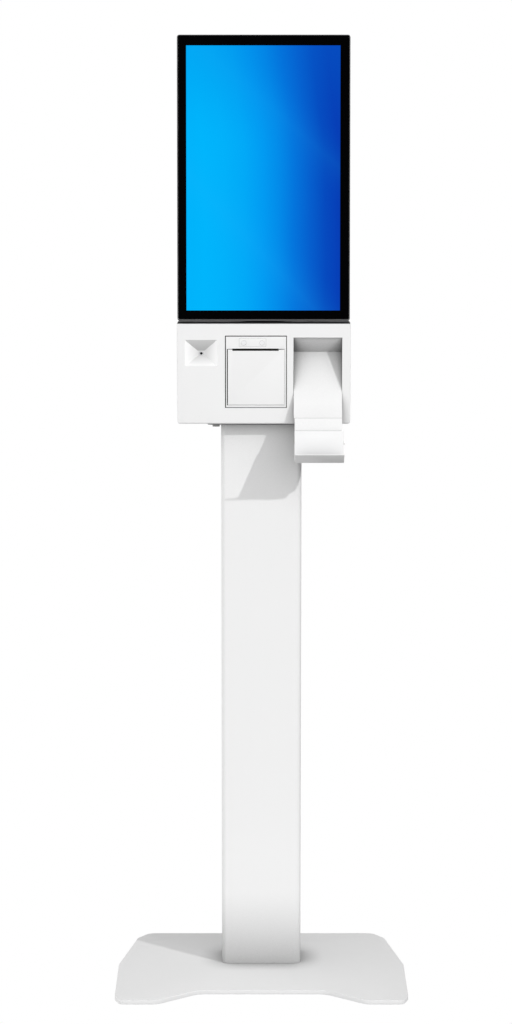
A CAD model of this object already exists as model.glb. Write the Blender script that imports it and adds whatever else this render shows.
# Looks for a floor-standing touchscreen kiosk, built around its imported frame: a base
# plate, a column, a cabinet with scanner funnel, printer and card terminal chute, and a
# tilted display on top. It stands on z = 0 with its front towards -Y, left is -X.
# The scene is in metres; sizes and mesh builders are in millimetres, scaled by MM.

import math

import bmesh
import bpy
from mathutils import Matrix, Vector


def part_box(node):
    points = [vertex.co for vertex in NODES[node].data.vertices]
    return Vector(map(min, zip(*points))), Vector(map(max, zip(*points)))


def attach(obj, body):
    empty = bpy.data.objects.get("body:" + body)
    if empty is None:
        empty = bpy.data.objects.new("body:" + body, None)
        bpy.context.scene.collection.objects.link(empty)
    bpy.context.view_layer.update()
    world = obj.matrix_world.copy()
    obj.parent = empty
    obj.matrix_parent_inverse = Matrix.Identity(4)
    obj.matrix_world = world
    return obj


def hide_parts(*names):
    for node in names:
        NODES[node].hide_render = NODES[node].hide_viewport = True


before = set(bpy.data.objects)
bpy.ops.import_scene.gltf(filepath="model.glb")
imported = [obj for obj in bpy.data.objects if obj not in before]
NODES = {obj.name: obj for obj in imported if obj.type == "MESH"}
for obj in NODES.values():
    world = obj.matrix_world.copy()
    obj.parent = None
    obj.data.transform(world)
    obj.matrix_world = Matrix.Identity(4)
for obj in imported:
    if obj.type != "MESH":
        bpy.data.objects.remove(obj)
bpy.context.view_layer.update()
MM = 0.001
SCENE = bpy.context.scene
SCENE.view_settings.view_transform = "Standard"
SCENE.view_settings.look = "None"
SCENE.view_settings.exposure = 0.0
SCENE.view_settings.gamma = 1.0

# Display: origin of its own coordinates, backward tilt, and the lit picture area
DISPLAY = (3.9, -16.0, 1224.2)
TILT = math.radians(4.0)
PICTURE = (-139.9, 138.5, 18.5, 494.5)      # left, right, low, high, in display coordinates
PAPER_AXIS = (42.0, 1107.0)                 # y, z of the paper roll's axis


# ------------------------------------------------------------------ node tools
def grey(value):
    return (value, value, value)


def scaled(rgb, factor):
    return tuple(min(1.0, c * factor) for c in rgb)


def linear(level):
    """Linear value of an 8-bit display value."""
    level = level / 255.0
    return level / 12.92 if level <= 0.04045 else ((level + 0.055) / 1.055) ** 2.4


def from_display(rgb):
    return tuple(linear(level) for level in rgb)


class Nodes:
    """Short ways to add and link nodes in an emptied tree."""

    def __init__(self, tree):
        self.tree = tree
        tree.nodes.clear()

    def add(self, kind, **props):
        node = self.tree.nodes.new(kind)
        for key, value in props.items():
            setattr(node, key, value)
        return node

    def put(self, socket, value):
        if isinstance(value, bpy.types.NodeSocket):
            self.tree.links.new(value, socket)
        elif isinstance(value, tuple) and len(value) == 3 and socket.type == "RGBA":
            socket.default_value = (*value, 1.0)
        else:
            socket.default_value = value

    def calc(self, operation, *values, clamp=False):
        node = self.add("ShaderNodeMath", operation=operation, use_clamp=clamp)
        for socket, value in zip(node.inputs, values):
            self.put(socket, value)
        return node.outputs[0]

    def span(self, value, source, to=(0.0, 1.0), kind="LINEAR"):
        """Map the range source onto the range to."""
        node = self.add("ShaderNodeMapRange", interpolation_type=kind)
        for i, v in enumerate((value, *source, *to)):
            self.put(node.inputs[i], v)
        return node.outputs[0]

    def mix(self, factor, first, second, blend="MIX"):
        node = self.add("ShaderNodeMix", data_type="RGBA", blend_type=blend)
        self.put(node.inputs[0], factor)
        self.put(node.inputs[6], first)
        self.put(node.inputs[7], second)
        return node.outputs[2]

    def axes(self, vector):
        node = self.add("ShaderNodeSeparateXYZ")
        self.put(node.inputs[0], vector)
        return node.outputs[0], node.outputs[1], node.outputs[2]


class Look(Nodes):
    """A procedural material. All patterns use object coordinates, in metres."""

    def __init__(self, name, rgb, rough=0.5, metal=0.0):
        self.mat = bpy.data.materials.new(name)
        self.mat.use_nodes = True
        super().__init__(self.mat.node_tree)
        output = self.add("ShaderNodeOutputMaterial")
        self.shader = self.add("ShaderNodeBsdfPrincipled")
        self.drive("Base Color", rgb)
        self.drive("Roughness", rough)
        self.drive("Metallic", metal)
        self.drive("IOR", 1.5)
        self.put(output.inputs["Surface"], self.shader.outputs[0])
        self.position = self.add("ShaderNodeTexCoord").outputs["Object"]
        self.mat.diffuse_color = (*rgb, 1.0)
        self.mat.roughness = rough
        self.mat.metallic = metal

    def drive(self, name, value):
        """Set or link an input of the surface shader."""
        self.put(self.shader.inputs[name], value)

    def math(self, operation, a, b=0.0, c=0.0, clamp=False):
        return self.calc(operation, a, b, c, clamp=clamp)

    def noise(self, scale, detail=2.0, rough=0.5, vector=None):
        node = self.add("ShaderNodeTexNoise")
        self.put(node.inputs["Vector"], vector or self.position)
        node.inputs["Scale"].default_value = scale
        node.inputs["Detail"].default_value = detail
        node.inputs["Roughness"].default_value = rough
        return node.outputs[0]

    def lines(self, along, detail, rough=0.5):
        """Noise drawn out into lines; along holds its scale on each axis."""
        node = self.add("ShaderNodeMapping")
        self.put(node.inputs["Vector"], self.position)
        node.inputs["Scale"].default_value = along
        return self.noise(scale=1.0, detail=detail, rough=rough, vector=node.outputs[0])

    def cells(self, scale, feature="F1", output=0):
        node = self.add("ShaderNodeTexVoronoi", feature=feature)
        self.put(node.inputs["Vector"], self.position)
        node.inputs["Scale"].default_value = scale
        return node.outputs[output]

    def vary(self, noise, low=0.0, high=1.0):
        """The middle of a noise's range, spread from low to high."""
        return self.span(noise, (0.3, 0.7), (low, high))

    def ramp(self, factor, stops):
        node = self.add("ShaderNodeValToRGB")
        elements = node.color_ramp.elements
        while len(elements) < len(stops):
            elements.new(0.5)
        for element, (position, rgb) in zip(elements, stops):
            element.position = position
            element.color = (*rgb, 1.0)
        self.put(node.inputs[0], factor)
        return node.outputs[0]

    def bump(self, height, distance, strength):
        node = self.add("ShaderNodeBump")
        self.put(node.inputs["Height"], height)
        node.inputs["Distance"].default_value = distance
        node.inputs["Strength"].default_value = strength
        self.drive("Normal", node.outputs[0])

    def darkened(self, colour, factor):
        combine = self.add("ShaderNodeCombineColor")
        for i in range(3):
            self.put(combine.inputs[i], factor)
        return self.mix(1.0, colour, combine.outputs[0], "MULTIPLY")

    def shaded(self, colour, reach, power):
        """Colour darkened in corners and seams, within reach metres."""
        node = self.add("ShaderNodeAmbientOcclusion", samples=8)
        node.inputs["Distance"].default_value = reach
        return self.darkened(colour, self.math("POWER", node.outputs["AO"], power))


# ------------------------------------------------------------------- materials
def specked(look, colour, rgb):
    speck = look.noise(scale=1900.0, detail=1.0)
    return look.mix(look.vary(speck, high=0.6), colour, scaled(rgb, 0.985))


def clouded(look, rgb):
    cloud = look.span(look.noise(scale=5.0, detail=3.0), (0.35, 0.65))
    return specked(look, look.mix(cloud, scaled(rgb, 0.992), rgb), rgb)


def powder_finish(look, colour, rough, grain=1.0):
    """Colour, cloudy gloss between two roughness values, and orange peel."""
    look.drive("Base Color", colour)
    look.drive("Roughness", look.vary(look.noise(scale=38.0, detail=3.0), *rough))
    peel = look.noise(scale=620.0, detail=2.0, rough=0.55)
    fine = look.noise(scale=2600.0, detail=1.0)
    height = look.math("ADD", peel, look.math("MULTIPLY", fine, 0.35))
    look.bump(height, distance=0.00005 * grain, strength=0.5)
    return look.mat


def powder(name, rgb, rough=0.46, grain=1.0, reach=0.0, power=1.0):
    """Powder coat: slightly cloudy tone, fine orange peel, grime and shade that
    gather in corners and seams within reach metres."""
    look = Look(name, rgb, rough)
    colour = clouded(look, rgb)
    if reach > 0.0:
        colour = look.shaded(colour, reach, power)
    return powder_finish(look, colour, (rough - 0.05, rough + 0.06), grain)


def column_paint(name, rgb):
    """Powder coat of the column: drawn faintly lengthwise, soiled towards the
    floor, a little greyer where the corners turn away."""
    look = Look(name, rgb, rough=0.46)
    _, _, z = look.axes(look.position)
    colour = clouded(look, rgb)
    drawn = look.lines(along=(420.0, 420.0, 1.6), detail=2.0)
    colour = look.mix(look.vary(drawn, high=0.06), colour, scaled(rgb, 0.93))
    _, normal_y, _ = look.axes(look.add("ShaderNodeNewGeometry").outputs["Normal"])
    frontal = look.math("MULTIPLY", normal_y, -1.0)
    turn = look.span(frontal, source=(0.35, 1.0), to=(0.90, 1.0))
    soil = look.span(z, source=(0.0, 0.26), to=(0.925, 1.0), kind="SMOOTHSTEP")
    colour = look.darkened(colour, look.math("MULTIPLY", turn, soil))
    power = look.span(z, source=(0.1, 0.9), to=(0.98, 0.71))
    return powder_finish(look, look.shaded(colour, reach=0.142, power=power), (0.41, 0.52))


def funnel_paint(name, rgb):
    """Powder coat of the scanner funnel: shade gathers towards the window, and the
    walls differ in tone with the way they face."""
    look = Look(name, rgb, rough=0.46)
    colour = specked(look, rgb, rgb)
    normal = look.add("ShaderNodeNewGeometry").outputs["True Normal"]
    normal_x, _, normal_z = look.axes(normal)
    side = look.math("MULTIPLY_ADD", normal_x, -0.04, 1.05)
    facing_down = look.span(normal_z, source=(-0.64, 0.0), to=(0.775, 1.0))
    facing_up = look.span(normal_z, source=(0.0, 0.70), to=(1.0, 0.83))
    _, y, _ = look.axes(look.position)
    deep = look.span(y, source=(-0.014, 0.001), to=(1.0, 0.72))
    shade = look.math("MULTIPLY", look.math("MULTIPLY", side, facing_down),
                      look.math("MULTIPLY", facing_up, deep))
    look.drive("Base Color", look.darkened(colour, shade))
    look.drive("Roughness", look.vary(look.noise(scale=38.0, detail=3.0), 0.42, 0.52))
    peel = look.noise(scale=620.0, detail=2.0, rough=0.55)
    look.bump(peel, distance=0.00005, strength=0.5)
    return look.mat


def moulded(name, rgb, rough=0.5, spark=1.0, cloud=1.0, reach=0.0, power=1.0):
    """Moulded plastic with a fine spark-eroded texture."""
    look = Look(name, rgb, rough)
    tone = look.vary(look.noise(scale=22.0, detail=3.0))
    colour = look.mix(tone, scaled(rgb, 1.0 - 0.07 * cloud), scaled(rgb, 1.0 + 0.04 * cloud))
    if reach > 0.0:
        colour = look.shaded(colour, reach, power)
    look.drive("Base Color", colour)
    gloss = look.noise(scale=90.0, detail=2.0)
    look.drive("Roughness", look.vary(gloss, rough - 0.06, rough + 0.08))
    pits = look.math("MULTIPLY", look.cells(scale=2300.0), 0.6)
    height = look.math("ADD", look.noise(scale=1500.0, detail=2.0), pits)
    look.bump(height, distance=0.00006 * spark, strength=0.6)
    return look.mat


def brushed(name, rgb, rough=0.32, along=(6.0, 900.0, 900.0), depth=1.0):
    """Drawn or brushed metal, lines along the axis with the small number."""
    look = Look(name, rgb, rough, metal=1.0)
    lines = look.lines(along, detail=3.0, rough=0.6)
    cloud = look.noise(scale=30.0, detail=2.0)
    colour = look.mix(look.vary(lines), scaled(rgb, 0.86), scaled(rgb, 1.06))
    colour = look.mix(look.vary(cloud, high=0.35), colour, scaled(rgb, 0.9))
    look.drive("Base Color", colour)
    look.drive("Roughness", look.vary(lines, rough - 0.08, rough + 0.1))
    look.bump(lines, distance=0.00003 * depth, strength=0.4)
    return look.mat


def spangled(name, rgb, rough=0.42, scale=420.0):
    """Zinc plate: small crystals of slightly different grey."""
    look = Look(name, rgb, rough, metal=1.0)
    crystal = look.cells(scale, output=1)
    tone = look.math("MULTIPLY", look.axes(crystal)[0], 1.0)
    look.drive("Base Color", look.mix(tone, scaled(rgb, 0.82), scaled(rgb, 1.05)))
    look.drive("Roughness", look.span(tone, (0.0, 1.0), to=(rough - 0.08, rough + 0.1)))
    look.bump(look.noise(scale=260.0, detail=3.0), distance=0.00004, strength=0.4)
    return look.mat


def rubbery(name, rgb=(0.018, 0.018, 0.019), rough=0.72):
    look = Look(name, rgb, rough)
    tone = look.vary(look.noise(scale=60.0, detail=4.0))
    look.drive("Base Color", look.mix(tone, scaled(rgb, 0.75), scaled(rgb, 1.6)))
    gloss = look.noise(scale=240.0, detail=2.0)
    look.drive("Roughness", look.vary(gloss, rough - 0.08, rough + 0.12))
    look.bump(look.noise(scale=1300.0, detail=3.0), distance=0.00009, strength=0.6)
    return look.mat


def circuit(name):
    """Solder mask over copper tracks, with tinned pads."""
    green, dark, tin = (0.012, 0.12, 0.045), (0.006, 0.06, 0.022), (0.62, 0.62, 0.58)
    look = Look(name, green, rough=0.35)
    track = look.span(look.cells(scale=260.0, feature="DISTANCE_TO_EDGE"), (0.035, 0.075))
    colour = look.mix(track, scaled(green, 1.9), green)
    cloud = look.span(look.noise(scale=40.0, detail=2.0), (0.35, 0.65))
    colour = look.mix(cloud, colour, dark)
    dots = look.span(look.cells(scale=430.0), source=(0.10, 0.13), to=(1.0, 0.0))
    keep = look.span(look.noise(scale=95.0, detail=0.0), source=(0.56, 0.60))
    pad = look.math("MULTIPLY", dots, keep)
    look.drive("Base Color", look.mix(pad, colour, tin))
    look.drive("Metallic", pad)
    look.drive("Roughness", look.span(pad, (0.0, 1.0), to=(0.32, 0.25)))
    look.bump(look.math("ADD", track, pad), distance=0.00005, strength=0.7)
    return look.mat


def thermal_paper(name, axis_y, axis_z):
    """Paper roll: fibres on the outside, wound layers on the ends, brown core."""
    rgb = (0.86, 0.855, 0.83)
    core_rgb = (0.34, 0.22, 0.12)
    look = Look(name, rgb, rough=0.82)
    _, y, z = look.axes(look.position)
    squares = []
    for value, centre in ((y, axis_y), (z, axis_z)):
        offset = look.math("SUBTRACT", value, centre * MM)
        squares.append(look.math("MULTIPLY", offset, offset))
    radius = look.math("SQRT", look.math("ADD", *squares))
    rings = look.math("SINE", look.math("MULTIPLY", radius, 9000.0))
    fibre = look.noise(scale=900.0, detail=4.0, rough=0.6)
    colour = look.mix(look.vary(fibre), scaled(rgb, 0.95), scaled(rgb, 1.03))
    layers = look.span(rings, source=(-1.0, 1.0), to=(0.0, 0.22))
    colour = look.mix(layers, colour, scaled(rgb, 0.72))
    core = look.span(radius, source=(0.0092, 0.0094), to=(1.0, 0.0))
    look.drive("Base Color", look.mix(core, colour, core_rgb))
    look.bump(look.math("ADD", rings, fibre), distance=0.00004, strength=0.5)
    return look.mat


def dark_glass(name, rgb=(0.004, 0.004, 0.005)):
    look = Look(name, rgb, rough=0.04)
    smear = look.noise(scale=14.0, detail=3.0)
    look.drive("Roughness", look.span(smear, source=(0.35, 0.7), to=(0.02, 0.07)))
    speck = look.vary(look.noise(scale=400.0, detail=1.0))
    look.drive("Base Color", look.mix(speck, rgb, scaled(rgb, 1.3)))
    return look.mat


# Picture on the display, in 8-bit display values: place along the gradient, colour
PICTURE_STOPS = [
    (0.00, (0, 179, 250)), (0.12, (0, 181, 252)), (0.25, (1, 177, 250)), (0.38, (1, 169, 247)),
    (0.50, (1, 155, 242)), (0.60, (2, 139, 233)), (0.70, (3, 116, 220)), (0.80, (5, 95, 206)),
    (0.90, (5, 74, 191)), (1.00, (6, 61, 182)),
]
PICTURE_TOP = (2, 108, 216)
PICTURE_BAND = (30, 180, 255)
# Bands of light: strength, slope, middle, half width
BANDS = ((0.10, 0.62, 0.52, 0.20), (0.06, 0.50, 1.04, 0.16))
PICTURE_EDGE = 0.35                         # soft edge of the lit area


def screen_glass(name):
    """Cover glass: black printed border and a lit picture area with a plain blue
    gradient and two soft bands of light."""
    border = (0.0008, 0.0008, 0.001)
    look = Look(name, border, rough=0.05)
    calc = look.math
    x, y, z = look.axes(look.position)
    left, right, low, high = PICTURE
    # across and up run from 0 to 1 over the picture
    across = calc("DIVIDE", calc("SUBTRACT", x, (DISPLAY[0] + left) * MM), (right - left) * MM)
    rise = calc("ADD", calc("MULTIPLY", calc("SUBTRACT", y, DISPLAY[1] * MM), math.sin(TILT)),
                calc("MULTIPLY", calc("SUBTRACT", z, DISPLAY[2] * MM), math.cos(TILT)))
    up = calc("DIVIDE", calc("SUBTRACT", rise, low * MM), (high - low) * MM)
    # the gradient runs left to right; its middle shifts a little towards the top
    lift = look.span(up, source=(0.55, 1.0), to=(0.0, 0.085), kind="SMOOTHSTEP")
    wave = look.lines(along=(5.5, 5.5, 4.0), detail=1.0)
    sway = calc("MULTIPLY", calc("SUBTRACT", wave, 0.5), 0.05)
    gradient = calc("ADD", calc("ADD", across, lift), sway)
    colour = look.ramp(gradient, [(at, from_display(rgb)) for at, rgb in PICTURE_STOPS])
    # darker towards the top, where the light falls off
    fall = look.span(up, source=(0.62, 1.05), to=(0.0, 0.24), kind="SMOOTHSTEP")
    colour = look.mix(fall, colour, from_display(PICTURE_TOP))
    for strength, slope, middle, width in BANDS:
        away = calc("SUBTRACT", calc("ADD", calc("MULTIPLY", across, slope), up), middle)
        band = calc("SUBTRACT", 1.0, calc("DIVIDE", calc("ABSOLUTE", away), width), clamp=True)
        band = calc("MULTIPLY", calc("MULTIPLY", band, band), strength)
        colour = look.mix(band, colour, from_display(PICTURE_BAND))
    within = []
    for value, size in ((across, right - left), (up, high - low)):
        edge = PICTURE_EDGE / size
        within.append(calc("MULTIPLY", look.span(value, (0.0, edge)),
                           look.span(value, (1.0 - edge, 1.0), to=(1.0, 0.0))))
    inside = calc("MULTIPLY", *within)
    look.drive("Emission Color", look.mix(inside, grey(0.0), colour))
    look.drive("Emission Strength", 1.0)
    look.drive("Base Color", look.mix(inside, border, (0.0002, 0.0004, 0.0006)))
    look.drive("Specular IOR Level", 0.20)
    smear = look.noise(scale=9.0, detail=3.0)
    look.drive("Roughness", look.span(smear, source=(0.35, 0.7), to=(0.025, 0.06)))
    return look.mat


WHITE = grey(0.84)
LOOKS = {
    "cabinet": powder("white_powder_cabinet", grey(0.847), reach=0.035, power=0.6),
    "funnel": funnel_paint("white_powder_funnel", grey(0.93)),
    "column": column_paint("white_powder_column", WHITE),
    "base": powder("white_powder_base", grey(0.78), rough=0.5, grain=1.5, reach=0.045, power=0.9),
    "recess": powder("white_powder_recess", WHITE, reach=0.11, power=1.32),
    "liner": powder("white_powder_liner", WHITE, reach=0.11, power=1.9),
    "ledge": powder("white_powder_ledge", grey(0.83), reach=0.05),
    "lip": powder("white_powder_lip", grey(0.72), reach=0.05, power=0.8),
    "door": powder("white_powder_door", WHITE, reach=0.03, power=0.6),
    "printer": moulded("printer_white_plastic", grey(0.85), rough=0.42, spark=0.4, cloud=0.12,
                       reach=0.008, power=0.45),
    "key": moulded("key_white_plastic", (0.84, 0.84, 0.85), rough=0.36, spark=0.3, cloud=0.15,
                   reach=0.004, power=0.4),
    "ring": moulded("ring_grey_plastic", (0.68, 0.68, 0.69), rough=0.35, spark=0.3),
    "black": moulded("black_plastic", (0.020, 0.020, 0.022)),
    "black_gloss": moulded("black_gloss_plastic", (0.012, 0.012, 0.013), rough=0.18, spark=0.15),
    "dark_paint": powder("dark_powder", (0.022, 0.022, 0.024), rough=0.5),
    "flange": powder("grey_flange", (0.27, 0.27, 0.275), rough=0.45),
    "bolt": spangled("zinc_bolt", (0.40, 0.40, 0.39), rough=0.45, scale=900.0),
    "steel": brushed("steel_sheet", (0.56, 0.57, 0.58), rough=0.30),
    "blade": brushed("blade_steel", (0.22, 0.22, 0.23), rough=0.36),
    "foam": rubbery("foam_gasket", grey(0.012), rough=0.9),
    "steel_z": brushed("steel_rod", (0.60, 0.61, 0.62), rough=0.24, along=(900.0, 900.0, 8.0)),
    "zinc": spangled("zinc_plate", (0.62, 0.62, 0.60)),
    "zinc_sheet": spangled("zinc_sheet", (0.60, 0.61, 0.61), rough=0.4, scale=110.0),
    "chrome": brushed("chrome_plate", (0.74, 0.74, 0.75), rough=0.14, depth=0.3),
    "alu": brushed("anodised_frame", (0.25, 0.25, 0.255), rough=0.36,
                   along=(500.0, 500.0, 9.0), depth=0.4),
    "case": brushed("case_aluminium", (0.10, 0.10, 0.11), rough=0.42, along=(900.0, 900.0, 7.0)),
    "brass": brushed("brass", (0.66, 0.48, 0.20), rough=0.3, along=(7.0, 800.0, 800.0)),
    "rubber": rubbery("rubber"),
    "cable": rubbery("cable_sheath", (0.014, 0.014, 0.015), rough=0.55),
    "nylon": moulded("nylon", (0.74, 0.72, 0.63), rough=0.45, spark=0.5),
    "board": circuit("circuit_board"),
    "head": moulded("thermal_head_ceramic", (0.16, 0.12, 0.08), rough=0.35, spark=0.3),
    "paper": thermal_paper("thermal_paper", *PAPER_AXIS),
    "lens": dark_glass("lens_glass"),
    "glass": screen_glass("display_cover_glass"),
    "lcd": dark_glass("lcd_back", (0.05, 0.05, 0.055)),
}

# ---------------------------------------------------------- carried-over nodes
BOLTS = "head_bolt_1 head_bolt_2 head_bolt_3 head_bolt_4"
# Look of each node of the frame
DRESSED = {
    "base": "base_plate", "column": "column_tube", "flange": "column_top_flange",
    "cabinet": "cabinet_shell", "liner": "recess_liner", "recess": "terminal_chute",
    "ledge": "terminal_ledge", "ring": "lens_ring", "lens": "scanner_lens",
    "printer": "printer_frame printer_lid button_plate", "key": "feed_button open_button",
    "black": "mains_inlet scanner_module printer_housing fan_housing fan_rotor speaker_bar"
             " display_rear_cover",
    "black_gloss": "power_rocker", "cable": "mains_harness display_cable",
    "rubber": "base_mat platen_roller", "nylon": "platen_gear idler_gear",
    "zinc": "column_screw_left column_screw_right ledge_screw_left ledge_screw_right feed_motor",
    "zinc_sheet": "printer_chassis cutter_drive equipment_plate power_supply",
    "steel": "lid_hinge_rod lock_cam", "steel_z": "door_pivot_rod", "brass": "motor_pinion",
    "head": "thermal_head", "blade": "fixed_blade cutter_blade", "paper": "paper_roll",
    "board": "button_board display_driver_board", "door": "rear_door",
    "chrome": "lock_housing lock_plug", "case": "computer_case", "alu": "display_frame",
    "dark_paint": "neck_post display_bracket", "glass": "display_glass", "lcd": "lcd_panel",
    "bolt": BOLTS,
}
# Bevel widths, millimetres, for the nodes whose corners show
EASED = {
    0.12: "feed_button open_button",
    0.2: "lock_cam thermal_head cutter_drive printer_chassis base_mat",
    0.25: "display_glass equipment_plate recess_liner",
    0.3: "neck_post display_bracket",
    0.35: "mains_inlet " + BOLTS,
    0.4: "rear_door power_rocker column_top_flange printer_housing speaker_bar fan_housing",
    0.45: "display_frame",
    0.5: "display_rear_cover scanner_module",
    0.7: "power_supply",
    1.2: "computer_case",
}


def by_node(groups):
    return {node: value for value, nodes in groups.items() for node in nodes.split()}


def add_bevel(o, width, angle, segments=2):
    bevel = o.modifiers.new("edge", "BEVEL")
    bevel.limit_method = "ANGLE"
    bevel.angle_limit = math.radians(angle)
    bevel.width = width * MM
    bevel.segments = segments
    bevel.use_clamp_overlap = True


def dress(name, look, edge):
    """Give a carried-over node its material, welded corners and eased edges."""
    o = NODES[name]
    mesh = o.data
    for attribute in list(mesh.attributes):
        if attribute.name == "custom_normal":
            mesh.attributes.remove(attribute)
    mesh.materials.clear()
    mesh.materials.append(LOOKS[look])
    mesh.shade_smooth()
    weld = o.modifiers.new("weld", "WELD")
    weld.merge_threshold = 0.000005
    if edge > 0.0:
        add_bevel(o, edge, angle=38.0)
        normals = o.modifiers.new("normals", "WEIGHTED_NORMAL")
        normals.keep_sharp = False
        normals.weight = 80
    else:
        split = o.modifiers.new("split", "EDGE_SPLIT")
        split.use_edge_angle = True
        split.split_angle = math.radians(32.0)


look_of, edge_of = by_node(DRESSED), by_node(EASED)
assert sorted(look_of) == sorted(NODES), sorted(set(NODES) ^ set(look_of))
for node_name, node_look in look_of.items():
    dress(node_name, node_look, edge_of.get(node_name, 0.0))


# ------------------------------------------------------------------ mesh tools
def to_mesh(name, bm):
    """Mesh in metres from a mesh under construction in millimetres."""
    bmesh.ops.recalc_face_normals(bm, faces=bm.faces[:])
    bmesh.ops.scale(bm, vec=(MM, MM, MM), verts=bm.verts[:])
    mesh = bpy.data.meshes.new(name)
    bm.to_mesh(mesh)
    bm.free()
    return mesh


def link(name, data):
    o = bpy.data.objects.new(name, data)
    SCENE.collection.objects.link(o)
    return o


def shade(o, angle):
    o.data.shade_smooth()
    o.data.set_sharp_from_angle(angle=math.radians(angle))


def bake(o):
    """Apply an object's modifiers to its mesh."""
    if not o.modifiers:
        return
    bpy.context.view_layer.update()
    depsgraph = bpy.context.evaluated_depsgraph_get()
    mesh = bpy.data.meshes.new_from_object(o.evaluated_get(depsgraph))
    old = o.data
    o.modifiers.clear()
    o.data = mesh
    bpy.data.meshes.remove(old)


def piece(name, bm, look, slot, replaces=None, body="stand", smooth=30.0, edge=0.0, segments=2,
          more_looks=()):
    """A piece of the kiosk that rides on a body; edge is a bevel width."""
    mesh = to_mesh(name, bm)
    o = link(name, mesh)
    for key in (look, *more_looks):
        mesh.materials.append(LOOKS[key])
    if edge > 0.0:
        add_bevel(o, edge, angle=35.0, segments=segments)
    bake(o)
    shade(o, smooth)
    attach(o, body)
    if replaces:
        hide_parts(replaces)
    return o


def cut(o, bm, operation="DIFFERENCE"):
    """Boolean with a throw-away tool, applied at once."""
    mesh = to_mesh("tool", bm)
    tool = link("tool", mesh)
    boolean = o.modifiers.new("cut", "BOOLEAN")
    boolean.operation = operation
    boolean.solver = "EXACT"
    boolean.object = tool
    bake(o)
    bpy.data.objects.remove(tool, do_unlink=True)
    bpy.data.meshes.remove(mesh)


def fuse(o, bm):
    cut(o, bm, "UNION")


def place(axis, a, b, h):
    """Point at h along the axis; a and b are the other two coordinates in order."""
    if axis == "X":
        return Vector((h, a, b))
    if axis == "Y":
        return Vector((a, h, b))
    return Vector((a, b, h))


def add_row(bm, points):
    return [bm.verts.new(p) for p in points]


def bridge(bm, first, second):
    """Quads between two closed rows of vertices."""
    for i in range(len(first)):
        j = (i + 1) % len(first)
        bm.faces.new((first[i], first[j], second[j], second[i]))


def cap(bm, first, last):
    bm.faces.new(first)
    bm.faces.new(list(reversed(last)))


def loft(bm, start, end):
    low, high = add_row(bm, start), add_row(bm, end)
    cap(bm, low, high)
    bridge(bm, low, high)


def prism(bm, points, axis, start, end):
    loft(bm, [place(axis, a, b, start) for a, b in points],
         [place(axis, a, b, end) for a, b in points])


def corners(x0, x1, y0, y1):
    return [(x0, y0), (x1, y0), (x1, y1), (x0, y1)]


def block(bm, x0, x1, y0, y1, z0, z1):
    prism(bm, corners(x0, x1, y0, y1), "Z", z0, z1)


def frustum(bm, front, y_front, back, y_back):
    """Tapered block between two upright rectangles."""
    loft(bm, [place("Y", x, z, y_front) for x, z in corners(*front)],
         [place("Y", x, z, y_back) for x, z in corners(*back)])


def ring(bm, outer, inner, axis, start, end):
    rows = [add_row(bm, [place(axis, a, b, h) for a, b in points])
            for points, h in ((outer, start), (outer, end), (inner, end), (inner, start))]
    for k in range(4):
        bridge(bm, rows[k], rows[(k + 1) % 4])


def turned(bm, profile, axis, centre, segments, closed=False):
    """Turned solid; profile holds (radius, position along the axis)."""
    angles = [2 * math.pi * i / segments for i in range(segments)]
    rows = [add_row(bm, [place(axis, centre[0] + radius * math.cos(angle),
                               centre[1] + radius * math.sin(angle), h) for angle in angles])
            for radius, h in profile]
    count = len(rows)
    for k in range(count if closed else count - 1):
        bridge(bm, rows[k], rows[(k + 1) % count])
    if not closed:
        cap(bm, rows[0], rows[-1])


def rod(bm, axis, centre, radius, start, end, segments):
    turned(bm, [(radius, start), (radius, end)], axis, centre, segments)


def arc(a, b, radius, start, end, steps):
    """Points about (a, b), from start to end degrees."""
    angles = [math.radians(start + (end - start) * k / steps) for k in range(steps + 1)]
    return [(a + radius * math.cos(t), b + radius * math.sin(t)) for t in angles]


def fillet(polygon, radii, segments):
    """Round a polygon's corners, one radius per corner."""
    out = []
    for i, radius in enumerate(radii):
        corner = Vector(polygon[i])
        before = Vector(polygon[i - 1]) - corner
        after = Vector(polygon[(i + 1) % len(polygon)]) - corner
        if radius <= 0.0:
            out.append((corner.x, corner.y))
            continue
        length_before, length_after = before.length, after.length
        before.normalize()
        after.normalize()
        half = math.acos(max(-1.0, min(1.0, before.dot(after)))) / 2.0
        reach = min(radius / math.tan(half), length_before * 0.48, length_after * 0.48)
        radius = reach * math.tan(half)
        centre = corner + (before + after).normalized() * (radius / math.sin(half))
        first, last = corner + before * reach - centre, corner + after * reach - centre
        start, end = math.atan2(first.y, first.x), math.atan2(last.y, last.x)
        sweep = (end - start + math.pi) % (2 * math.pi) - math.pi
        for k in range(segments + 1):
            angle = start + sweep * k / segments
            out.append((centre.x + radius * math.cos(angle), centre.y + radius * math.sin(angle)))
    return out


def mirrored(half):
    """Whole outline from its half on the +X side."""
    return half + [(-x, y) for x, y in reversed(half) if x > 1e-6]


def grow(box, by=0.0, extra=(0.0, 0.0, 0.0, 0.0)):
    """Rectangle (left, right, low, high) grown all round, and by extra on each side."""
    return (box[0] - by - extra[0], box[1] + by + extra[1],
            box[2] - by - extra[2], box[3] + by + extra[3])


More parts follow.
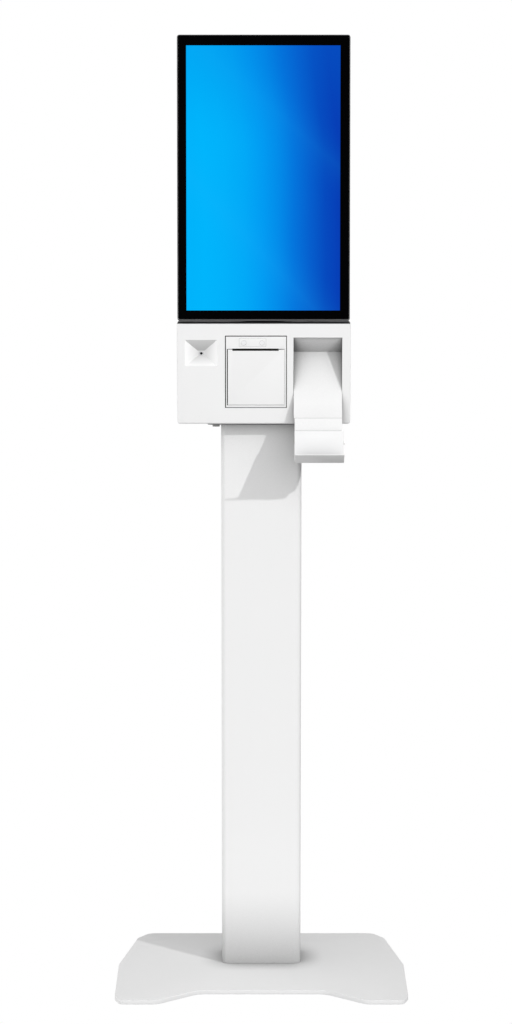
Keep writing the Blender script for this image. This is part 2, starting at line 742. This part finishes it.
def sheet(bm, rows, thickness):
    """Bent sheet. rows: (y, z, x0, x1) of the front surface, top to bottom."""
    behind = Vector((1.0, -0.6))
    points = [Vector((row[0], row[1])) for row in rows]
    normals = []
    for i in range(len(points) - 1):
        run = (points[i + 1] - points[i]).normalized()
        normal = Vector((-run.y, run.x))
        if i == 0:
            side = -1.0 if normal.dot(behind) < 0.0 else 1.0
        normals.append(normal * side)
    loops = []
    for i, (_, _, x0, x1) in enumerate(rows):
        if i == 0:
            offset = normals[0] * thickness
        elif i == len(points) - 1:
            offset = normals[-1] * thickness
        else:
            a, b = normals[i - 1], normals[i]
            offset = (a + b) * (thickness / (1.0 + a.dot(b)))
        front, back = points[i], points[i] + offset
        loops.append(add_row(bm, [(x0, front.x, front.y), (x1, front.x, front.y),
                                  (x1, back.x, back.y), (x0, back.x, back.y)]))
    for i in range(len(loops) - 1):
        bridge(bm, loops[i], loops[i + 1])
    cap(bm, loops[0], loops[-1])


# ------------------------------------------------------------------ base plate
BASE_Z = (1.3, 9.3)
# Right half of the plate's outline (x, y), and its corner radii
BASE_HALF = [(0.0, -142.0), (116.0, -142.0), (188.6, -197.5), (257.0, -197.5), (266.5, -173.0),
             (269.0, 5.0), (241.0, 167.0), (219.0, 197.5), (0.0, 197.5)]
BASE_RADII = [0.0, 45.0, 33.0, 12.0, 30.0, 60.0, 26.0, 20.0, 0.0]
# Upright channel on the plate, inside the column (y, z), and its half width
CHANNEL = [(22.0, 8.0), (91.1, 8.0), (91.1, 58.0), (87.1, 58.0), (87.1, 15.6), (26.0, 15.6),
           (26.0, 58.0), (22.0, 58.0)]
CHANNEL_X = 50.0
COLUMN_SCREWS = [(-32.0, 36.0), (32.0, 36.0)]           # x, z
COLUMN_SCREW_HOLE = 3.3


def column_screw_holes(bm, start, end):
    for centre in COLUMN_SCREWS:
        rod(bm, "Y", centre, COLUMN_SCREW_HOLE, start, end, 24)


def build_base():
    (x0, y0, _), (x1, y1, _) = [[v / MM for v in corner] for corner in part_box("base_plate")]
    bm = bmesh.new()
    outline = mirrored(fillet(BASE_HALF, BASE_RADII, 12))
    prism(bm, [(min(max(x, x0), x1), min(max(y, y0), y1)) for x, y in outline], "Z", *BASE_Z)
    base = piece("base_plate_fine", bm, "base", "white_paint", "base_plate", edge=0.7, segments=3)
    bm = bmesh.new()
    prism(bm, CHANNEL, "X", -CHANNEL_X, CHANNEL_X)
    fuse(base, bm)
    bm = bmesh.new()
    column_screw_holes(bm, 84.0, 93.0)
    cut(base, bm)


# ---------------------------------------------------------------------- column
COLUMN_HALF_WIDTH = 148.2 / 2.0
COLUMN_Y = (11.2, 94.0)
COLUMN_Z = (9.6, 1032.1)
COLUMN_SAG = 1.0                            # how far the middle of the front stands forward
COLUMN_WALL = 2.5
FRONT_RADIUS, BACK_RADIUS = 9.5, 6.0
COLUMN_OPENING = (-14.6, 14.6, 88.0, 98.0, 73.4, 118.6)  # x, y and z ranges, through the back


def column_outline(inset):
    """Slightly bowed front, round corners; they meet 4 degrees off the front plane."""
    width = COLUMN_HALF_WIDTH - inset
    front, back = COLUMN_Y[0] + inset, COLUMN_Y[1] - inset
    radius = FRONT_RADIUS - inset * 0.6
    flat = COLUMN_HALF_WIDTH - FRONT_RADIUS
    half = []
    for i in range(9):
        x = (width - radius) * i / 8
        half.append((x, front + COLUMN_SAG * (x / flat) ** 2))
    centre_y = half[-1][1] + radius * math.cos(math.radians(4.0))
    half += arc(width - radius, centre_y, radius, -86.0, 0.0, 14)[1:]
    radius = BACK_RADIUS - inset * 0.8
    half += arc(width - radius, back - radius, radius, 0.0, 90.0, 8)
    return mirrored(half)


def build_column():
    bm = bmesh.new()
    ring(bm, column_outline(0.0), column_outline(COLUMN_WALL), "Z", *COLUMN_Z)
    column = piece("column_fine", bm, "column", "column_paint", "column_tube", smooth=25.0)
    bm = bmesh.new()
    block(bm, *COLUMN_OPENING)
    column_screw_holes(bm, 88.0, 98.0)
    cut(column, bm)


# --------------------------------------------------------------------- cabinet
SHEET = 1.5
LEFT, RIGHT, FRONT, BACK, BOTTOM, TOP = -153.5, 162.0, -16.0, 107.2, 1036.5, 1218.7
# Bevelled edges: axis index, its level, only edges at constant x, width, segments
CABINET_BEVELS = ((2, BOTTOM, True, 4.8, 10), (1, FRONT, False, 1.8, 5), (2, TOP, True, 1.2, 3))
BEND_RADIUS = 2.8                           # the folded lower edge has a wider bend
BEND_OUT = 0.004                            # the bend lies this far outside the faces
# Rectangles in the front are (left, right, low, high)
FUNNEL_MOUTH = (-139.3, -80.4, 1142.1, 1189.4)
FUNNEL_END = (-116.4, -103.6, 1159.0, 1168.9)
FUNNEL_DEPTH = 17.0
FUNNEL_Y = FRONT + FUNNEL_DEPTH
LENS = (-109.7, 1163.9)                     # x, z
PRINTER = (-64.85, 44.95, 1066.85, 1195.75)
PRINTER_RIM = grow(PRINTER, extra=(-0.28, -0.15, 0.0, -0.35))
PRINTER_HOLE = grow(PRINTER, 1.1, extra=(0.38, 0.18, 0.05, 0.40))
TERMINAL_HOLE = (58.2, 146.8, 1087.0, 1193.7)
CABLE_HOLE = (92.0, 62.0)                   # x, y in the top
NECK_SCREWS = [(-46.0, 46.0), (54.0, 46.0), (-46.0, 92.0), (54.0, 92.0)]
THROUGH = 3.0                               # how far a tool passes the outer face


def cut_lower_bend(cabinet):
    """Round the lower front edge."""
    y, z = FRONT + BEND_RADIUS - BEND_OUT, BOTTOM + BEND_RADIUS - BEND_OUT
    bm = bmesh.new()
    prism(bm, [(FRONT - 4.0, z)] + arc(y, z, BEND_RADIUS, 180.0, 270.0, 12)
          + [(y, BOTTOM - 4.0), (FRONT - 4.0, BOTTOM - 4.0)], "X", LEFT - 9.0, RIGHT + 9.0)
    cut(cabinet, bm)


def add_funnel(cabinet):
    bm = bmesh.new()
    frustum(bm, grow(FUNNEL_MOUTH, 2.2), FRONT + 0.7, grow(FUNNEL_END, 2.6), FUNNEL_Y + 1.8)
    fuse(cabinet, bm)
    ahead = 4.0                             # the cone is continued in front of the face
    slope = ahead / FUNNEL_DEPTH
    mouth = tuple(m + (m - e) * slope for m, e in zip(FUNNEL_MOUTH, FUNNEL_END))
    bm = bmesh.new()
    frustum(bm, mouth, FRONT - ahead, FUNNEL_END, FUNNEL_Y)
    cut(cabinet, bm)


def cut_cabinet_openings(cabinet):
    bm = bmesh.new()
    for x0, x1, z0, z1 in (PRINTER_HOLE, TERMINAL_HOLE):
        block(bm, x0, x1, FRONT - THROUGH, FRONT + 4.0, z0, z1)
    rod(bm, "Y", LENS, 4.3, FUNNEL_Y - 2.0, FUNNEL_Y + 4.0, 32)
    bottom = (BOTTOM - THROUGH, BOTTOM + THROUGH)
    top = (TOP - THROUGH, TOP + THROUGH)
    block(bm, -28.0, 28.0, 38.0, 78.0, *bottom)
    for x in (-83.3, 83.3):
        for y in (24.0, 86.0):
            rod(bm, "Z", (x, y), 4.4, *bottom, 24)
    rod(bm, "Z", CABLE_HOLE, 5.0, *top, 24)
    for centre in NECK_SCREWS:
        rod(bm, "Z", centre, 2.8, *top, 20)
    cut(cabinet, bm)


def build_cabinet():
    bm = bmesh.new()
    block(bm, LEFT, RIGHT, FRONT, BACK, BOTTOM, TOP)
    for axis, level, constant_x, width, segments in CABINET_BEVELS:
        edges = [e for e in bm.edges if all(abs(v.co[axis] - level) < 1e-3 for v in e.verts)
                 and (not constant_x or abs(e.verts[0].co.x - e.verts[1].co.x) < 1e-3)]
        bmesh.ops.bevel(bm, geom=edges, offset=width, segments=segments, affect="EDGES",
                        profile=0.5)
    cabinet = piece("cabinet_fine", bm, "cabinet", "cabinet_paint", "cabinet_shell", smooth=35.0,
                    more_looks=("funnel",))
    cut_lower_bend(cabinet)
    bm = bmesh.new()
    block(bm, LEFT + SHEET, RIGHT - SHEET, FRONT + SHEET, BACK + 20.0, BOTTOM + SHEET, TOP - SHEET)
    cut(cabinet, bm)
    add_funnel(cabinet)
    cut_cabinet_openings(cabinet)
    bm = bmesh.new()                        # tab on the inside of the right wall
    block(bm, 156.2, RIGHT - SHEET + 0.5, 98.0, 99.5, 1105.0, 1150.0)
    fuse(cabinet, bm)
    shade(cabinet, 35.0)
    x0, x1, z0, z1 = grow(FUNNEL_MOUTH, 0.1)
    for face in cabinet.data.polygons:
        c = face.center / MM
        if x0 < c.x < x1 and z0 < c.z < z1 \
                and FRONT + 0.1 < c.y < FUNNEL_Y + 0.1 and face.normal.y < 0.2:
            face.material_index = 1


# --------------------------------------------------- terminal chute and ledge
# Points and directions in the (y, z) plane
LEDGE_TOP = Vector((-43.7307, 1026.25))
LEDGE_LOW = Vector((-71.5190, 971.1788))
LIP_END = Vector((-93.6, 988.6))
CHUTE_TOP = (8.2, 1173.2)
CHUTE_TOP_BACK = (22.0, 1173.2)
CHUTE_BEND = (-29.9, 1049.2)
CREASE = 0.32                               # size of the crease in the chute's bend
CHUTE_X = (58.8, 146.5)
CHUTE_MID_X = (CHUTE_X[0] + 1.5, CHUTE_X[1])            # left edge trimmed below the bend
LEDGE_X = (59.9, 148.8)
TONGUE_X = (LEDGE_X[0] + 1.8, LEDGE_X[1] - 1.8)         # chute's lower end, behind the ledge
SCREW_ALONG, SCREW_IN = 20.1, 7.4           # side screws, from the ledge's top
SLOT_TRAVEL, SLOT_RADIUS = 14.0, 2.4
DOWN = (LEDGE_LOW - LEDGE_TOP).normalized()             # down along the ledge
INWARD = Vector((-DOWN.y, DOWN.x))                      # square to it, towards the back
if INWARD.x < 0.0:
    INWARD = -INWARD


def on_ledge(along, depth):
    return LEDGE_TOP + DOWN * along + INWARD * depth


def slab(s0, s1, d0, d1):
    """Rectangle from s0 to s1 down the ledge and d0 to d1 behind it."""
    return [tuple(on_ledge(s, d)) for s, d in ((s0, d0), (s1, d0), (s1, d1), (s0, d1))]


def build_chute():
    tongue = on_ledge(0.0, SHEET + 0.3)
    bend = Vector(CHUTE_BEND)
    bend = bend + (tongue - bend).normalized()
    rows = [(*CHUTE_TOP_BACK, *CHUTE_X)]
    rounded = fillet([CHUTE_TOP_BACK, CHUTE_TOP, (bend.x, bend.y)], [0.0, 2.5, 0.0], 6)
    rows += [(y, z, *CHUTE_X) for y, z in rounded[1:-1]]
    # the bend is creased, so a thin line of shade runs along it
    for towards, width in (((Vector(CHUTE_TOP) - bend), CHUTE_X), (Vector((1.0, -0.2)), CHUTE_X),
                           ((tongue - bend), CHUTE_MID_X)):
        rows.append((*(bend + towards.normalized() * CREASE), *width))
    rows.append((*(tongue - DOWN * 0.9), *CHUTE_MID_X))
    rows += [(*(tongue + DOWN * along), *TONGUE_X) for along in (0.6, 44.0)]
    bm = bmesh.new()
    sheet(bm, rows, SHEET)
    chute = piece("terminal_chute_fine", bm, "recess", "cabinet_paint", "terminal_chute",
                  smooth=28.0)
    bm = bmesh.new()
    x0, x1 = TONGUE_X
    for start in (x0, x1 - SHEET):          # side flanges
        prism(bm, slab(3.6, 41.6, 2.2, 12.0), "X", start, start + SHEET)
    fuse(chute, bm)
    bm = bmesh.new()
    screw_at = tuple(on_ledge(SCREW_ALONG, SCREW_IN))
    rod(bm, "X", screw_at, 2.3, x0 - 2.0, x0 + 4.0, 24)
    rod(bm, "X", screw_at, 2.3, x1 - 4.0, x1 + 2.0, 24)
    cut(chute, bm)


def build_ledge():
    profile = fillet([tuple(LEDGE_TOP), tuple(LEDGE_LOW), tuple(LIP_END)], [0.0, 2.5, 0.0], 10)
    bm = bmesh.new()
    sheet(bm, [(y, z, *LEDGE_X) for y, z in profile], SHEET)
    ledge = piece("terminal_ledge_fine", bm, "ledge", "cabinet_paint", "terminal_ledge",
                  body="ledge", smooth=28.0, edge=0.30)
    x0, x1 = LEDGE_X
    bm = bmesh.new()
    for start in (x0, x1 - SHEET):          # side flanges
        prism(bm, fillet(slab(2.5, 56.0, 0.7, 12.5), [0.0, 0.0, 5.0, 5.0], 6), "X",
              start, start + SHEET)
    fuse(ledge, bm)
    slot = [tuple(on_ledge(s, d)) for s, d in
            arc(SCREW_ALONG - SLOT_TRAVEL, SCREW_IN, SLOT_RADIUS, 90.0, 270.0, 12)
            + arc(SCREW_ALONG, SCREW_IN, SLOT_RADIUS, -90.0, 90.0, 12)]
    bm = bmesh.new()
    prism(bm, slot, "X", x0 - 2.0, x0 + 1.65)
    prism(bm, slot, "X", x1 - 1.65, x1 + 2.0)
    cut(ledge, bm)
    ledge.data.materials.append(LOOKS["lip"])   # the lip's outer face is rubbed and soiled
    for face in ledge.data.polygons:
        if face.normal.z < -0.25 and face.center.y < LEDGE_LOW.x * MM - 0.001:
            face.material_index = 1


# --------------------------------------------------------------------- printer
HINGE = (-14.5, 1074.0)                     # y, z of the lid's pivot
HINGE_HOLE = 1.3
LID_ROUND = 3.6                             # radius of the lid's rolled lower edge
LID_GAP = 0.16
LID = (-61.1, 41.7, HINGE[1] - LID_ROUND, 1172.0)
OPENING = grow(LID, extra=(1.4, LID_GAP, LID_GAP, 0.95))
LID_FRONT, LID_INSIDE = -17.5, -15.0        # y
PAPER_SLOT = (-52.9, 31.3)                  # x
BEZEL_Y = (-16.0, -13.4)
KEYS, KEY_Z, KEY_HOLE = (-32.0, 1.0), 1183.9, 4.62
KEY_PLATE = (-40.45, 8.15, 1177.75, 1192.15)
KEY_PLATE_GAP = 0.17
LID_ARMS = ((-56.5, -54.0), (31.8, 34.3))   # x ranges
ARM_PIVOT = (1.0, 1160.0)                   # y, z


def build_bezel():
    front, back = BEZEL_Y
    x0, x1, z0, z1 = OPENING
    bm = bmesh.new()
    ring(bm, corners(*PRINTER_RIM), corners(x0 - 0.3, x1, z0 - 0.2, z1), "Y", front, back)
    bezel = piece("printer_bezel", bm, "printer", "printer_plastic", "printer_frame", edge=0.28)
    # the lower edge follows the lid's round edge, so only a hairline shows
    y0, y1 = front + 0.02, back - 0.02
    profile = [(y0, z0 - 1.2)]
    for k in range(9):
        y = y0 + (y1 - y0) * k / 8
        drop = math.sqrt((LID_ROUND + LID_GAP) ** 2 - (HINGE[0] - y) ** 2)
        profile.append((y, HINGE[1] - drop))
    profile.append((y1, z0 - 1.2))
    bm = bmesh.new()
    prism(bm, profile, "X", x0 - 0.9, x1 + 0.9)
    fuse(bezel, bm)
    bm = bmesh.new()
    block(bm, *PAPER_SLOT, front - 2, back + 2, z1 - 2.0, LID[3] + 1.75)
    left, right, low, high = grow(KEY_PLATE, KEY_PLATE_GAP)
    block(bm, left, right, front - 2, back + 2, low, high)
    rod(bm, "X", HINGE, HINGE_HOLE, x0 - 1.6, x0 + 2.0, 20)
    rod(bm, "X", HINGE, HINGE_HOLE, x1 - 2.0, x1 + 1.6, 20)
    cut(bezel, bm)


def build_key_plate():
    front, back = BEZEL_Y
    bm = bmesh.new()
    block(bm, *KEY_PLATE[:2], front + 0.10, back, *KEY_PLATE[2:])
    plate = piece("printer_key_plate", bm, "printer", "printer_plastic", "button_plate",
                  edge=0.15)
    bm = bmesh.new()
    for x in KEYS:
        rod(bm, "Y", (x, KEY_Z), KEY_HOLE, front - 2, back + 2, 48)
    cut(plate, bm)


def build_lid():
    """Flat front, lower edge rolled about the pivot, finger rounding on top."""
    x0, x1, _, top = LID
    finger = 0.9
    profile = arc(*HINGE, LID_ROUND, 213.56, 458.0, 40)
    profile += [(LID_INSIDE, top - 0.3), (LID_INSIDE - 0.3, top)]
    profile += arc(LID_FRONT + finger, top - finger, finger, 90.0, 180.0, 6)
    bm = bmesh.new()
    prism(bm, profile, "X", x0, x1)
    lid = piece("printer_lid_fine", bm, "printer", "printer_plastic", "printer_lid", body="lid",
                smooth=26.0, edge=0.22)
    bm = bmesh.new()
    arm = [(-15.6, 1140.0), (-15.6, 1166.0)] + arc(*ARM_PIVOT, 5.2, 90.0, -90.0, 18)
    for start, end in LID_ARMS:
        prism(bm, arm, "X", start, end)
    for z in (1092.0, 1112.0, 1132.0):      # stiffening ribs across the inside
        block(bm, x0 + 5.0, x1 - 5.0, -15.4, -13.6, z, z + 1.4)
    fuse(lid, bm)
    bm = bmesh.new()
    block(bm, *PAPER_SLOT, -20.0, -12.0, 1169.7, 1175.0)
    for start, end in LID_ARMS:
        rod(bm, "X", ARM_PIVOT, 2.3, start - 1.0, end + 1.0, 32)
    rod(bm, "X", HINGE, HINGE_HOLE, x0 - 2.0, x1 + 2.0, 20)
    cut(lid, bm)


def build_printer_seals():
    # foam behind the gap between bezel and cabinet, and its lip in the gap
    bm = bmesh.new()
    ring(bm, corners(*grow(PRINTER, 4.5)), corners(*grow(PRINTER, -0.25)), "Y", -13.35, -12.2)
    piece("printer_gasket", bm, "foam", "rubber", edge=0.2)
    bm = bmesh.new()
    ring(bm, corners(*grow(PRINTER_HOLE, -0.03)), corners(*grow(PRINTER_RIM, 0.03)),
         "Y", -15.6, -13.36)
    piece("printer_gasket_lip", bm, "foam", "rubber")
    # dark seal down the lid's left side
    x0, x1, _, z1 = OPENING
    bm = bmesh.new()
    block(bm, x0 - 0.27, LID[0] - 0.10, -15.7, -13.5, LID[2] + 5.5, LID[3] - 0.6)
    piece("lid_side_seal", bm, "foam", "rubber", edge=0.1)
    # and along its upper edge, left and right of the slot
    bm = bmesh.new()
    for start, end in ((x0 + 0.6, PAPER_SLOT[0] - 0.3), (PAPER_SLOT[1] + 0.3, x1 - 1.2)):
        block(bm, start, end, -15.75, -13.6, LID[3] + 0.07, z1 - 0.04)
    piece("lid_top_seal", bm, "foam", "rubber")


# Black paper guides behind the slot: name, outline (y, z), corner radii
GUIDES = (
    ("paper_guide_low", [(-12.6, 1168.7), (-11.4, 1168.7), (-11.4, 1170.9), (-12.6, 1170.4)],
     [0.2, 0.2, 0.3, 0.3]),
    ("paper_guide_high", [(-12.6, 1172.4), (-11.4, 1171.9), (-11.4, 1175.5), (-12.6, 1175.5)],
     [0.3, 0.3, 0.2, 0.2]),
)


def build_paper_guides():
    for name, outline, radii in GUIDES:
        bm = bmesh.new()
        prism(bm, fillet(outline, radii, 3), "X", PAPER_SLOT[0] - 0.6, PAPER_SLOT[1] + 0.6)
        piece(name, bm, "foam", "rubber")


# --------------------------------------------------------- screws and fittings
# Display screws (x, z) in display coordinates, equipment plate screws (x, z)
BRACKET_SCREWS = [(x, z) for z in (82.0, 157.0) for x in (-37.5, 37.5)]
COVER_SCREWS = [(x, z) for z in (14.0, 256.0, 500.0) for x in (-144.4, 144.4)]
PLATE_SCREWS = [(-140.0, 1078.0), (-78.0, 1078.0), (-140.0, 1143.0), (-78.0, 1143.0),
                (59.0, 1059.0), (121.0, 1059.0), (59.0, 1173.0), (121.0, 1173.0)]
# Grommet in the cabinet's top: (radius, z)
GROMMET = [(4.95, 1216.9), (6.6, 1216.9), (6.6, 1215.9), (3.6, 1215.9), (3.6, 1222.3),
           (4.2, 1222.9), (6.2, 1222.9), (6.6, 1222.4), (6.6, 1221.05), (4.95, 1221.05)]


def on_display(x, y, z):
    """Display coordinates to the kiosk's frame, millimetres."""
    return Vector((DISPLAY[0] + x, DISPLAY[1] + y * math.cos(TILT) + z * math.sin(TILT),
                   DISPLAY[2] + z * math.cos(TILT) - y * math.sin(TILT)))


def screw(name, at, along, head, height, depth, shank, look):
    """Pan-head screw with a hexagon socket, its head's underside at the given point.
    head and shank are radii; the shank goes down by depth."""
    side = height * 0.35                    # straight part of the head
    crown = height * 0.65
    socket = head * 0.46
    profile = [(shank, -depth), (shank, 0.0), (head, 0.0), (head, side)]
    for angle in (20, 40, 60, 80):
        t = math.radians(angle)
        profile.append((head - crown * (1 - math.cos(t)), side + crown * math.sin(t)))
    profile.append((socket * 1.05, height))
    angles = [2 * math.pi * i / 24 for i in range(24)]
    bm = bmesh.new()
    rows = [add_row(bm, [(r * math.cos(t), r * math.sin(t), h) for t in angles])
            for r, h in profile]
    for h in (height - 0.1, side):
        points = []
        for t in angles:
            r = socket * math.cos(math.pi / 6) / math.cos((t % (math.pi / 3)) - math.pi / 6)
            points.append((r * math.cos(t), r * math.sin(t), h))
        rows.append(add_row(bm, points))
    for first, second in zip(rows, rows[1:]):
        bridge(bm, first, second)
    bm.faces.new(list(reversed(rows[0])))
    bm.faces.new(rows[-1])
    turn = Vector((0, 0, 1)).rotation_difference(Vector(along).normalized())
    bmesh.ops.transform(bm, matrix=Matrix.Translation(Vector(at)) @ turn.to_matrix().to_4x4(),
                        verts=bm.verts[:])
    piece(name, bm, look, look, smooth=35.0)


def screw_set(name, places, along, look="zinc", **sizes):
    for i, at in enumerate(places):
        screw("%s_%d" % (name, i + 1), at, along, look=look, **sizes)


def build_fittings():
    screw_set("neck_screw", [(x, y, 1221.03) for x, y in NECK_SCREWS], (0, 0, 1),
              head=4.4, height=2.4, depth=2.0, shank=2.2)
    backward = on_display(0, 1, 0) - on_display(0, 0, 0)
    screw_set("bracket_screw", [on_display(x, 42.83, z) for x, z in BRACKET_SCREWS], backward,
              head=3.9, height=2.2, depth=6.0, shank=2.0)
    screw_set("cover_screw", [on_display(x, 40.02, z) for x, z in COVER_SCREWS], backward,
              look="black_gloss", head=2.7, height=1.3, depth=1.0, shank=1.4)
    bm = bmesh.new()
    turned(bm, GROMMET, "Z", CABLE_HOLE, 28, closed=True)
    piece("cable_grommet_low", bm, "cable", "rubber", smooth=40.0)
    screw_set("plate_screw", [(x, 88.53, z) for x, z in PLATE_SCREWS], (0, 1, 0),
              head=3.2, height=1.9, depth=1.0, shank=1.5)


build_base()
build_column()
build_cabinet()
build_chute()
build_ledge()
build_bezel()
build_key_plate()
build_lid()
build_printer_seals()
build_paper_guides()
build_fittings()

# ------------------------------------------------------------------- the stage
FLOOR_SIZE = 60                             # metres from the middle to each side
BACKDROP = 1.0                              # floor and sky as the camera sees them
FLOOR_DIFFUSE, FLOOR_GLOSS = 0.40, 0.62
SKY_TOP, SKY_LOW, SKY_FRONT, SKY_LEFT = 0.43, 1.06, 0.55, 0.40
SKY_LEAST = 0.05
SIDE_SKY, SIDE_FLOOR = 0.45, 0.29           # the light is stronger from the left
LEFT_BOX = (-0.747, -0.657, 0.10)           # direction of the soft box left of the camera
GLOSS_SKY = 0.72


def by_ray(nodes, glossy, other):
    """Colour that depends on which kind of ray looks at it."""
    path = nodes.add("ShaderNodeLightPath")
    lighting = nodes.mix(path.outputs["Is Glossy Ray"], other, glossy)
    return nodes.mix(path.outputs["Is Camera Ray"], lighting, grey(BACKDROP))


def build_floor():
    mesh = bpy.data.meshes.new("floor")
    bm = bmesh.new()
    square = corners(-FLOOR_SIZE, FLOOR_SIZE, -FLOOR_SIZE, FLOOR_SIZE)
    bm.faces.new(add_row(bm, [(x, y, 0) for x, y in square]))
    bm.to_mesh(mesh)
    bm.free()
    floor = link("studio_floor", mesh)
    material = bpy.data.materials.new("studio_floor")
    material.use_nodes = True
    nodes = Nodes(material.node_tree)
    output = nodes.add("ShaderNodeOutputMaterial")
    emission = nodes.add("ShaderNodeEmission")
    nodes.put(output.inputs["Surface"], emission.outputs[0])
    incoming = nodes.axes(nodes.add("ShaderNodeNewGeometry").outputs["Incoming"])
    diffuse = nodes.calc("MULTIPLY_ADD", incoming[0], SIDE_FLOOR, FLOOR_DIFFUSE)
    nodes.put(emission.inputs["Color"], by_ray(nodes, grey(FLOOR_GLOSS), diffuse))
    mesh.materials.append(material)
    floor.visible_shadow = False


def build_world():
    world = bpy.data.worlds.new("studio")
    SCENE.world = world
    world.use_nodes = True
    nodes = Nodes(world.node_tree)
    calc = nodes.calc
    output = nodes.add("ShaderNodeOutputWorld")
    background = nodes.add("ShaderNodeBackground")
    nodes.put(output.inputs["Surface"], background.outputs[0])
    x, y, z = nodes.axes(nodes.add("ShaderNodeTexCoord").outputs["Generated"])
    height = calc("MAXIMUM", z, 0.0)
    facing = calc("MULTIPLY", y, -1.0)
    sky = nodes.span(height, source=(0.0, 0.95), to=(SKY_LOW, SKY_TOP), kind="SMOOTHSTEP")
    front = calc("POWER", calc("MAXIMUM", facing, 0.0), 2.0)
    sky = calc("ADD", sky, calc("MULTIPLY", front, SKY_FRONT))
    sky = calc("MAXIMUM", calc("SUBTRACT", sky, calc("MULTIPLY", x, SIDE_SKY)), SKY_LEAST)
    # a second soft box stands to the left of the camera
    parts = [calc("MULTIPLY", value, part) for value, part in zip((x, y, z), LEFT_BOX)]
    left = calc("ADD", calc("ADD", parts[0], parts[1]), parts[2])
    left = calc("POWER", calc("MAXIMUM", left, 0.0), 6.0)
    sky = calc("ADD", sky, calc("MULTIPLY", left, SKY_LEFT))
    # mirrors see an unlit gap behind the camera between the soft boxes
    gap = nodes.span(facing, source=(0.84, 0.955), to=(1.0, 0.0), kind="SMOOTHSTEP")
    gloss = calc("MULTIPLY", gap, GLOSS_SKY)
    nodes.put(background.inputs["Color"], by_ray(nodes, gloss, sky))
    background.inputs["Strength"].default_value = 1.0


def build_sun():
    """Key light from the right, the front and above."""
    data = bpy.data.lights.new("key_light", "SUN")
    data.energy = 1.55
    data.angle = math.radians(1.2)
    sun = link("key_light", data)
    sun.rotation_mode = "QUATERNION"
    sun.rotation_quaternion = Vector((-1.238, 1.0, -0.890)).to_track_quat("-Z", "Y")
    sun.location = (2.0, -2.0, 3.0)


def build_camera():
    data = bpy.data.cameras.new("camera")
    data.lens = 83.11
    data.sensor_width = 36.0
    data.sensor_fit = "AUTO"
    data.clip_end = 200.0
    camera = link("camera", data)
    camera.location = (-0.0099, -4.312, 1.4413)
    camera.rotation_euler = (math.radians(82.482), 0.0, 0.0)
    SCENE.camera = camera


build_floor()
build_world()
build_sun()
build_camera()
